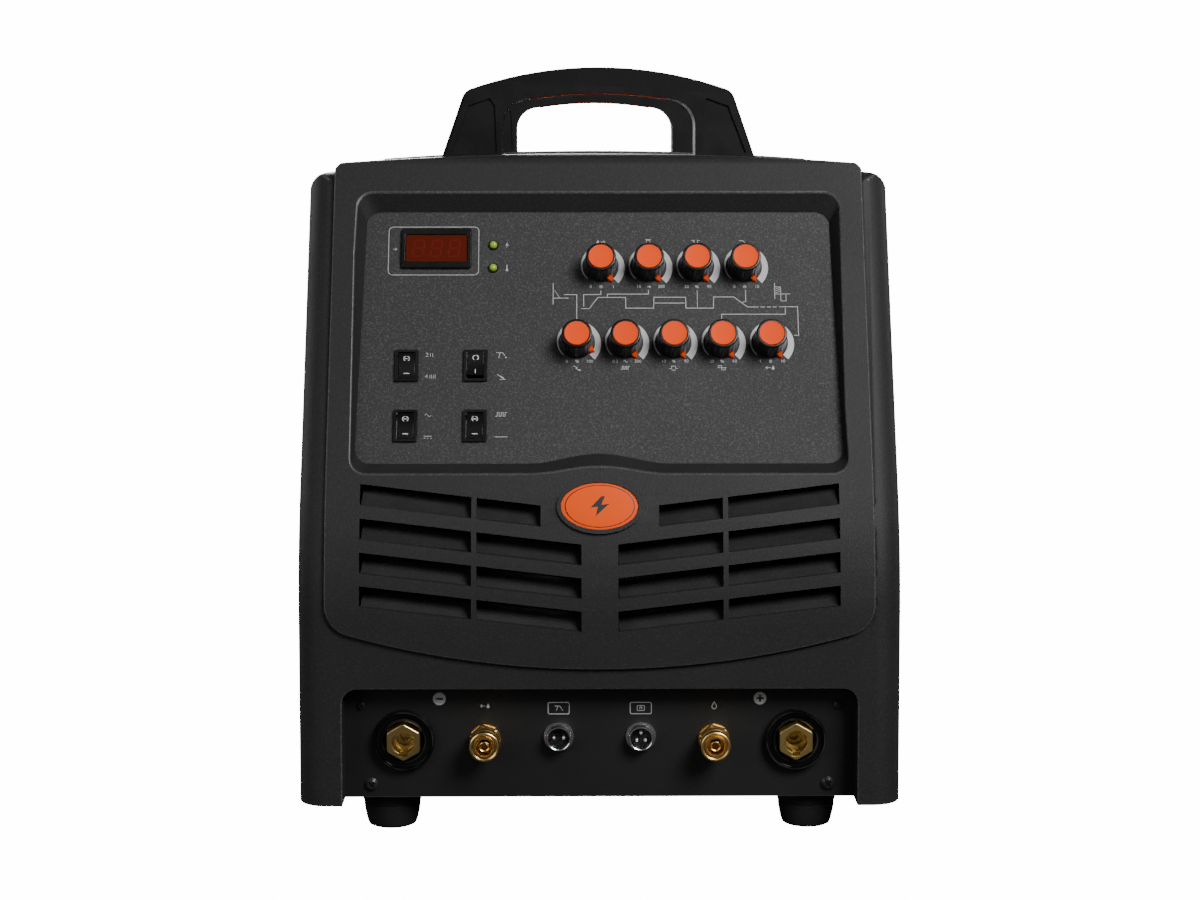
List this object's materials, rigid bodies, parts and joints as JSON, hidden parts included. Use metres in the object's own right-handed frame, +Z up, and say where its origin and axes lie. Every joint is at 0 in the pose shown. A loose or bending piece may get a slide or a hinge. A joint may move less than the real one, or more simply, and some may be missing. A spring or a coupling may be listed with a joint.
{
  "type": "tig welding machine",
  "caption": "Inverter TIG welding power source: sloped control recess with knobs and rockers, louvred grille, socket bay, two arch handles, rubber feet.",
  "frame": {"origin": "centre of the bounding box at floor level, under the feet", "axes": "+Z up, -Y out of the control face, +X to the right seen from the front"},
  "size_m": [0.38, 0.576, 0.486],
  "materials": {
    "case_moulding": "fine spark-eroded texture, satin black",
    "panel_coat": "coarse charcoal powder coat",
    "cover_coat": "black powder coat",
    "chassis_steel": "zinc plated sheet",
    "orange_plastic": "satin orange",
    "badge_orange": "gloss orange face",
    "knob_black": "satin black",
    "switch_black": "semi gloss black",
    "display_red": "dark red filter",
    "lamp_green": "clear green lens",
    "insulator_black": "moulded insulator",
    "brass": "turned brass",
    "chrome": "nickel plated",
    "screw_black": "black oxide",
    "rubber": "moulded rubber",
    "handle_black": "fine texture black",
    "fan_black": "glass-filled black",
    "guard_wire": "plated wire",
    "switch_grey": "grey lever",
    "aluminium": "extruded",
    "core_steel": "varnished laminations and windings",
    "circuit_green": "solder mask",
    "winding": "varnished winding",
    "pot_metal": "plated can"
  },
  "bodies": {
    "chassis": {"base_plate": "chassis_steel", "front_bezel": "case_moulding", "rear_bezel": "case_moulding", "cover": "cover_coat", "socket_panel": "panel_coat", "rear_panel": "panel_coat", "control_panel": "panel_coat", "badge": "badge_orange", "display_bezel": "switch_black", "display_window": "display_red", "indicator_lamps": "lamp_green", "rocker_frames": "switch_black", "potentiometers": "pot_metal", "control_board": "circuit_green", "socket_insulators": "insulator_black", "output_sockets": "brass", "outlet_bodies": "brass", "connector_shells": "chrome", "connector_inserts": "insulator_black", "screws": "screw_black", "feet": "rubber", "handle_front": "handle_black", "handle_rear": "handle_black", "handle_grips": "orange_plastic", "fan_frame": "fan_black", "fan_guard": "guard_wire", "power_switch": "switch_black", "cable_gland": "insulator_black", "gas_inlet": "brass", "heatsinks": "aluminium", "transformer": "core_steel", "power_board": "circuit_green", "arc_starter": "winding", "gas_valve": "brass"},
    "pregas_knob": {"knob_pregas": "knob_black", "cap_pregas": "orange_plastic"},
    "peak_knob": {"knob_peak": "knob_black", "cap_peak": "orange_plastic"},
    "base_knob": {"knob_base": "knob_black", "cap_base": "orange_plastic"},
    "slope_knob": {"knob_slope": "knob_black", "cap_slope": "orange_plastic"},
    "force_knob": {"knob_force": "knob_black", "cap_force": "orange_plastic"},
    "frequency_knob": {"knob_frequency": "knob_black", "cap_frequency": "orange_plastic"},
    "width_knob": {"knob_width": "knob_black", "cap_width": "orange_plastic"},
    "balance_knob": {"knob_balance": "knob_black", "cap_balance": "orange_plastic"},
    "postgas_knob": {"knob_postgas": "knob_black", "cap_postgas": "orange_plastic"},
    "trigger_rocker": {"rocker_trigger": "switch_black"},
    "process_rocker": {"rocker_process": "switch_black"},
    "current_rocker": {"rocker_current": "switch_black"},
    "pulse_rocker": {"rocker_pulse": "switch_black"},
    "gas_release_sleeve": {"gas_sleeve": "brass"},
    "water_release_sleeve": {"water_sleeve": "brass"},
    "cooling_fan": {"fan_impeller": "fan_black"},
    "mains_lever": {"switch_lever": "switch_grey"}
  },
  "joints": [
    {"name": "pregas_knob_turn", "type": "hinge", "parent": "chassis", "child": "pregas_knob", "pos_m": [0.0012, -0.19353, 0.3574], "axis": [0, -0.91, 0.4147], "range_deg": [0, 290]},
    {"name": "peak_knob_turn", "type": "hinge", "parent": "chassis", "child": "peak_knob", "pos_m": [0.0322, -0.19353, 0.3574], "axis": [0, -0.91, 0.4147], "range_deg": [0, 290]},
    {"name": "base_knob_turn", "type": "hinge", "parent": "chassis", "child": "base_knob", "pos_m": [0.0632, -0.19353, 0.3574], "axis": [0, -0.91, 0.4147], "range_deg": [0, 290]},
    {"name": "slope_knob_turn", "type": "hinge", "parent": "chassis", "child": "slope_knob", "pos_m": [0.0942, -0.19353, 0.3574], "axis": [0, -0.91, 0.4147], "range_deg": [0, 290]},
    {"name": "force_knob_turn", "type": "hinge", "parent": "chassis", "child": "force_knob", "pos_m": [-0.0143, -0.21522, 0.3098], "axis": [0, -0.91, 0.4147], "range_deg": [-25, 265]},
    {"name": "frequency_knob_turn", "type": "hinge", "parent": "chassis", "child": "frequency_knob", "pos_m": [0.0167, -0.21522, 0.3098], "axis": [0, -0.91, 0.4147], "range_deg": [0, 290]},
    {"name": "width_knob_turn", "type": "hinge", "parent": "chassis", "child": "width_knob", "pos_m": [0.0477, -0.21522, 0.3098], "axis": [0, -0.91, 0.4147], "range_deg": [0, 290]},
    {"name": "balance_knob_turn", "type": "hinge", "parent": "chassis", "child": "balance_knob", "pos_m": [0.0787, -0.21522, 0.3098], "axis": [0, -0.91, 0.4147], "range_deg": [0, 290]},
    {"name": "postgas_knob_turn", "type": "hinge", "parent": "chassis", "child": "postgas_knob", "pos_m": [0.1097, -0.21522, 0.3098], "axis": [0, -0.91, 0.4147], "range_deg": [0, 290]},
    {"name": "trigger_rocker_tip", "type": "hinge", "parent": "chassis", "child": "trigger_rocker", "pos_m": [-0.123, -0.22035, 0.29467], "axis": [1, 0, 0], "range_deg": [-16, 0]},
    {"name": "process_rocker_tip", "type": "hinge", "parent": "chassis", "child": "process_rocker", "pos_m": [-0.079, -0.22035, 0.29467], "axis": [1, 0, 0], "range_deg": [0, 16]},
    {"name": "current_rocker_tip", "type": "hinge", "parent": "chassis", "child": "current_rocker", "pos_m": [-0.123, -0.23711, 0.25791], "axis": [1, 0, 0], "range_deg": [-16, 0]},
    {"name": "pulse_rocker_tip", "type": "hinge", "parent": "chassis", "child": "pulse_rocker", "pos_m": [-0.079, -0.23711, 0.25791], "axis": [1, 0, 0], "range_deg": [-16, 0]},
    {"name": "gas_sleeve_slide", "type": "slide", "parent": "chassis", "child": "gas_release_sleeve", "axis": [0, 1, 0], "range_m": [0, 0.003], "stiffness_N_per_m": 900, "springref_m": -0.002},
    {"name": "water_sleeve_slide", "type": "slide", "parent": "chassis", "child": "water_release_sleeve", "axis": [0, 1, 0], "range_m": [0, 0.003], "stiffness_N_per_m": 900, "springref_m": -0.002},
    {"name": "fan_spin", "type": "hinge", "parent": "chassis", "child": "cooling_fan", "pos_m": [0, 0.2445, 0.214], "axis": [0, 1, 0], "continuous": true},
    {"name": "mains_lever_tip", "type": "hinge", "parent": "chassis", "child": "mains_lever", "pos_m": [-0.09, 0.268, 0.345], "axis": [1, 0, 0], "range_deg": [0, 60]}
  ]
}
